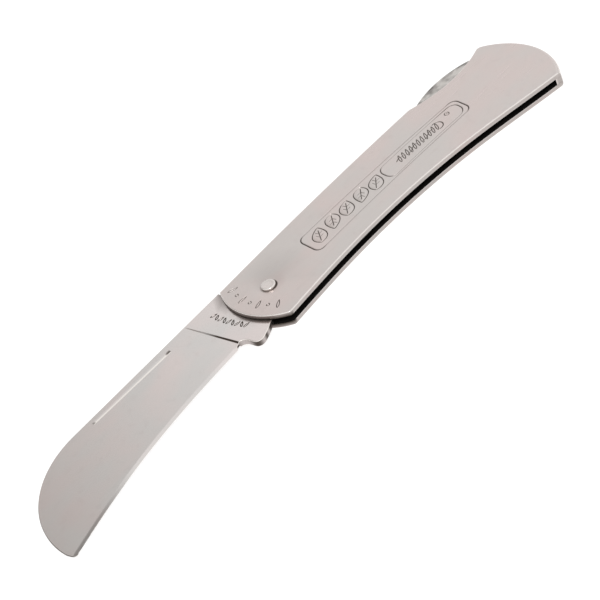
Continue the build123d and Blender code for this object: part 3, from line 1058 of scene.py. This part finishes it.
def nick_place(points):
    """How far along the long pull a point lies, in mm, and how far up it, from -1 to 1."""
    local = (points - NICK[0]) * NICK_WAY.conjugate()
    return local.real, local.imag / NICK_HALF


def nick_depth(points):
    """The long pull: a steep wall on the side of the edge, then a slope up towards the spine."""
    along, up = nick_place(points)
    up = (up + 1) / 2
    across = np.clip(up / NICK_WALL, 0, 1) * np.clip((1 - up) / (1 - NICK_WALL), 0, 1)
    ends = np.clip(along / NICK_END, 0, 1) * np.clip((NICK_LENGTH - along) / NICK_END, 0, 1)
    return NICK_DEPTH * across * ends


# Painted shade inside the long pull, darkest at its ends
def nick_shade(points):
    along, up = nick_place(points)
    inside = soft((1.02 - np.abs(up)) * 12) * soft((along + 0.05) * 12)
    inside = inside * soft((NICK_LENGTH + 0.05 - along) * 12)
    far_end = soft((along - NICK_LENGTH + 1.6) / 0.8)
    near_end = 0.6 * soft((0.9 - along) / 0.5)
    return inside * np.clip(0.08 + 0.85 * far_end + near_end, 0, 0.9)


# Painted highlight along the pull's steep side
def nick_shine(points):
    along, up = nick_place(points)
    line = soft((0.52 - np.abs(up + 1.0)) * 12)
    return line * soft((along + 0.05) * 8) * soft((NICK_LENGTH - 0.2 - along) * 8)


def nick_lines():
    """Lines that the blade's face needs along the long pull and across its ends."""
    start, end = NICK
    lines = []
    for share in (-0.3, -0.2, -0.12, 0.0, NICK_WALL, 0.2, 0.6, 1.0, 1.1):
        offset = 1j * NICK_WAY * (share * 2 - 1) * NICK_HALF
        lines.append((spread([start - NICK_WAY * 0.05, end + NICK_WAY * 0.05], 12) + offset, False))
    half = 1j * NICK_WAY * NICK_HALF * 1.6
    for inset in (-0.1, 0.0, NICK_END, 1.0, 1.6):
        for foot in (start + NICK_WAY * inset, end - NICK_WAY * inset):
            lines.append((np.array([foot - half, foot + half]), False))
    return lines


def build_blade():
    grains = row_of_marks("ricasso_grains", GRAIN_PATH, 9, 1.7, 0.5, radians(68), radians(44), 12)
    grooves = [(grain, True, 0.19, 0.13) for grain in grains]
    lines = groove_lines(grooves) + nick_lines()
    span = 1j * np.linspace(CHOIL[1].imag + 0.25, BLADE_RISE - 0.3, 24)
    for share in (-1.0, -0.72, -0.5, -0.25, 0.0, 0.25, 0.5, 0.72, 1.0):
        lines.append((grind_line_x(span) + span + share * GRIND_RAMP, False))
    inward = normals(cutting_edge)
    for beyond in (-0.5 * BEVEL_WIDTH, -0.04, 0.0, 0.04, 0.2):
        line = cutting_edge + inward * (BEVEL_WIDTH + beyond)
        lines.append((line[(line.real > TIP.real + 0.9) & (line.real < HEEL.real - 0.1)], False))

    def cut(points):
        return np.maximum(nick_depth(points), groove_depth(points, grooves))

    def painted_shade(points):
        # Painted shade in the stamped grains and on the grind's ramp, a painted shadow under the cheek's
        # mouth, and painted shade of a darker reflection along the bevel, growing towards the tip
        stamp_shade = np.clip(groove_depth(points, grooves) / 0.08, 0, 1)
        off_line = np.abs(points.real - grind_line_x(points)) / GRIND_RAMP
        step = np.clip((8.5 - points.imag) / 7, 0, 1)
        ramp_shade = soft((0.7 - off_line) * 5) * step
        mouth_shadow = 0.72 * soft((mouth_circle[1] + 1.5 - np.abs(points - mouth_circle[0])) / 1.5)
        tip_shade = 0.1 + 0.55 * soft((-54 - points.real) / 18)
        tip_shade = near_edge(points) * tip_shade * soft((-22 - points.real) / 8)
        return np.max([stamp_shade, ramp_shade, mouth_shadow, tip_shade, nick_shade(points)], axis=0)

    def near_edge(points):
        away = distance_to(points, cutting_edge, False) / BEVEL_WIDTH
        return np.where(points.real < HEEL.real + 0.4, soft((1.05 - away) * 8), 0.0)

    # Painted sheen along the bevel towards the tip, and the pull's painted highlight
    def painted_sheen(points):
        bevel_sheen = 0.12 * near_edge(points) * soft((-24 - points.real) / 12)
        return np.maximum(bevel_sheen, nick_shine(points))

    def on_kick(points):
        return soft((points.real + 18.5) / 1.5) * soft((-3.5 - points.imag) / 1.5)

    # Painted shade on the side walls with painted glints along the kick and a dark back at the tip, lifted
    # near the cutting edge
    def side_shade(points, turn):
        tip_back = 0.9 * soft((-72.5 - points.real) / 2.5) * soft((turn - 8) / 12)
        tip_back = tip_back * (points.imag > TIP.imag + 0.5)
        shade_and_glints = 0.5 + on_kick(points) * (0.2 + 0.28 * np.sin(points.real * 2.1 + points.imag * 1.3))
        bevel_sheen = near_edge(points) * soft((points.real + 62) / 6)
        return np.maximum(tip_back, shade_and_glints * soft((turn - 50) / 25) * (1 - bevel_sheen))

    body = Surface()
    plate(
        body, blade_outline(), BLADE_MIDDLE, blade_half,
        lambda points: np.minimum(0.11 + 0.1 * on_kick(points), 0.4 * blade_half(points)),
        [(0, RIVET_SHANK + PIN_PLAY)], side_shade, lines, cut, painted_shade, painted_sheen,
    )
    settle(body.piece("grafting_blade", [blade_finish], 12), "blade", "blade_steel", "blade")


# Lock bar: nose, arm, boss and the thumb lever that stands in the hollow

def build_lock_bar():
    lever_circle = circle_through(LEVER_FRONT, LEVER_TOP, LEVER_BACK)
    lever = arc(lever_circle[0], LEVER_FRONT, LEVER_BACK, 40)
    outline = np.concatenate([BAR_NOSE, BAR_TOP, lever, BAR_TAIL, BAR_BOSS, BAR_UNDER])[::-1]
    dense = []
    for start, end in zip(outline, np.roll(outline, -1)):
        count = max(1, int(abs(end - start) / 1.5))
        dense.append(start + (end - start) * np.arange(count) / count)
    body = Surface()
    middle = (bar_low[2] + bar_high[2]) / 2
    half = (bar_high[2] - bar_low[2]) / 2
    plate(
        body, np.concatenate(dense), middle, level(half),
        lambda points: 0.08 + 0.14 * soft((points.real - 63) / 3), [(LOCK_PIN, LOCK_PIN_RADIUS + PIN_PLAY)],
        # Painted shade on the bar's side walls
        lambda points, turn: np.full(len(points), 0.4 * soft((turn - 55) / 25)),
    )
    settle(body.piece("lock_bar_lever", [lever_finish]), "lock_bar", "lock_steel", "lock_bar")


# Rivet and pins, turned from a profile of radius, height and a painted light value: above nought a painted
# highlight, below nought painted shade

def turned(name, centre, profile, slot, node):
    body = Surface()
    body.strip([
        body.add(ring(centre, radius, 64), height, max(sheen, 0), max(-sheen, 0))
        for radius, height, sheen in profile
    ])
    for radius, height, _ in (profile[0], profile[-1]):
        guard = (ring(centre, radius * 0.93, 64), True)
        body.fill(ring(centre, radius, 64), [], [guard], level(height))
    settle(body.piece(name, [rivet_finish]), "handle", slot, node)


def build_rivets():
    head = RIVET_TOP - THICK
    # Painted highlights on the head's upper rim and the countersink's edge, painted shade round the head's
    # side and foot
    turned(
        "pivot_rivet_domed", 0,
        [
            (SINK_RADIUS - 0.08, 0.0, 0.3), (SINK_RADIUS, 0.06, 0.3), (RIVET_SHANK, SINK_DEPTH, 0),
            (RIVET_SHANK, THICK - 0.12, -0.9), (HEAD_RADIUS - 0.01, THICK - 0.11, -0.9),
            (HEAD_RADIUS, THICK, -0.8), (HEAD_RADIUS, THICK + head * 0.3, -0.3),
            (HEAD_RADIUS - 0.01, THICK + head * 0.62, 0.6), (HEAD_RADIUS - 0.05, THICK + head * 0.87, 1.0),
            (HEAD_RADIUS - 0.11, THICK + head * 0.975, 0.9), (HEAD_RADIUS - 0.21, RIVET_TOP, 0.1),
            (1.25, THICK + head * 0.97, -0.03), (0.8, THICK + head * 0.93, 0.0),
        ],
        "rivet_steel", "pivot_rivet",
    )
    for name, centre, radius, node in (
        ("lock_pin_flush", LOCK_PIN, LOCK_PIN_RADIUS, "lock_bar_pin"),
        ("spring_pin_flush", SPRING_PIN, SPRING_PIN_RADIUS, "spring_pin"),
    ):
        # A painted highlight round the pin's end
        profile = [(radius - 0.07, 0.0, 0.3), (radius, 0.07, 0.4), (radius, 1.0, 0)]
        profile.append((radius, THICK - SHEET - 0.01, 0))
        turned(name, centre, profile, "rivet_steel", node)


# Leaf spring: flat strip swept along its path by Geometry Nodes

def strip_tree():
    tree, sockets, given = shape_tree("strip_along_a_path", (
        ("Path", "Geometry", None),
        ("Strip Thickness", "Float", STRIP_THICKNESS * MM),
        ("Strip Width", "Float", STRIP_WIDTH * MM),
        ("Edge Round", "Float", STRIP_ROUND * MM),
        ("Finish", "Material", None),
    ), "Strip")
    path = add_node(tree, "GeometryNodeMeshToCurve", {"Mesh": given["Path"]})
    upright = add_node(tree, "GeometryNodeSetCurveNormal", {"Curve": path.outputs["Curve"]}, mode="Z_UP")
    section = add_node(tree, "GeometryNodeCurvePrimitiveQuadrilateral", {
        "Width": given["Strip Thickness"], "Height": given["Strip Width"],
    })
    eased = add_node(tree, "GeometryNodeFilletCurve", {
        "Curve": section.outputs["Curve"], "Count": 2, "Radius": given["Edge Round"],
    }, mode="POLY")
    swept = add_node(tree, "GeometryNodeCurveToMesh", {
        "Curve": upright.outputs["Curve"], "Profile Curve": eased.outputs["Curve"], "Fill Caps": True,
    })
    close_tree(tree, swept.outputs["Mesh"], given["Finish"])
    return tree, sockets


def build_leaf_spring():
    eye = SPRING_PIN_RADIUS + PIN_PLAY + STRIP_THICKNESS / 2
    top = SPRING_PIN + 1j * eye
    bow = circle_through(top, (top + SPRING_TOUCH) / 2 + 1j * SPRING_BOW, SPRING_TOUCH)
    rolled = SPRING_PIN + eye * np.exp(1j * np.radians(np.linspace(90, -255, 40)))
    leaf = np.concatenate([arc(bow[0], SPRING_TOUCH, top, 40)[:-1], rolled])
    line = np.concatenate([leaf, [SPRING_PIN + eye * np.exp(-0.3j)], SPRING_TAIL]) + PIVOT
    height = (spring_low[2] + spring_high[2]) / 2
    path = bpy.data.meshes.new("spring_path")
    points = [(place.real * MM, place.imag * MM, height * MM) for place in line]
    edges = [(i, i + 1) for i in range(len(points) - 1) if i != len(leaf) - 1]
    path.from_pydata(points, edges, [])
    tree, sockets = strip_tree()
    mesh = grown("leaf_spring", tree, sockets, {"Finish": spring_finish}, path)
    obj = new_object("leaf_spring", mesh)
    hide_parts("lock_spring")
    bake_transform(obj)


# Studio

def build_floor():
    mesh = bpy.data.meshes.new("floor")
    corners = [(x * FLOOR_HALF, y * FLOOR_HALF, 0) for x, y in ((-1, -1), (1, -1), (1, 1), (-1, 1))]
    mesh.from_pydata(corners, [], [(0, 1, 2, 3)])
    obj = new_object("floor", mesh)
    material, tree, shader = new_material("paper_sweep")
    feed(tree, shader, {
        "Base Color": (FLOOR_GREY, FLOOR_GREY, FLOOR_GREY, 1), "Roughness": 0.9, "Specular IOR Level": 0.0,
        "Emission Color": (1.0, 1.0, 1.0, 1), "Emission Strength": FLOOR_GLOW,
    })
    mesh.materials.append(material)


def build_sky():
    """A bright white room, a little darker low down, with one dim wall behind the blade's end."""
    world = bpy.data.worlds.new("studio")
    world.use_nodes = True
    tree = world.node_tree
    where = add_node(tree, "ShaderNodeTexCoord").outputs["Generated"]
    up = add_node(tree, "ShaderNodeSeparateXYZ", {"Vector": where}).outputs["Z"]
    room = mix(tree, remap(tree, up, 0.0, 0.9, 0.0, 1.0), SKY_LOW, SKY_HIGH)
    azimuth, height = (radians(angle) for angle in DIM_WALL)
    wall = (cos(azimuth) * cos(height), sin(azimuth) * cos(height), sin(height))
    towards = add_node(tree, "ShaderNodeVectorMath", {0: where, 1: wall}, operation="DOT_PRODUCT")
    near, far = (cos(radians(angle)) for angle in DIM_SPREAD)
    dim = remap(tree, towards.outputs["Value"], far, near, 0.0, 1.0)
    feed(tree, tree.nodes["Background"], {"Color": mix(tree, dim, room, DIM_COLOUR), "Strength": 1.0})
    bpy.context.scene.world = world


def soft_light(name, place, towards, size, power):
    data = bpy.data.lights.new(name, "AREA")
    data.size = size
    data.energy = power
    lamp = new_object(name, data)
    lamp.location = place
    lamp.rotation_euler = (Vector(towards) - Vector(place)).to_track_quat("-Z", "Y").to_euler()


bpy.context.scene.view_settings.view_transform = "Standard"
place_camera()
build_floor()
build_sky()
soft_light("front_box", (-0.24, -0.4, 0.62), (0, 0, 0), 0.3, 1.6)

build_handle()
build_blade()
build_lock_bar()
build_rivets()
build_leaf_spring()
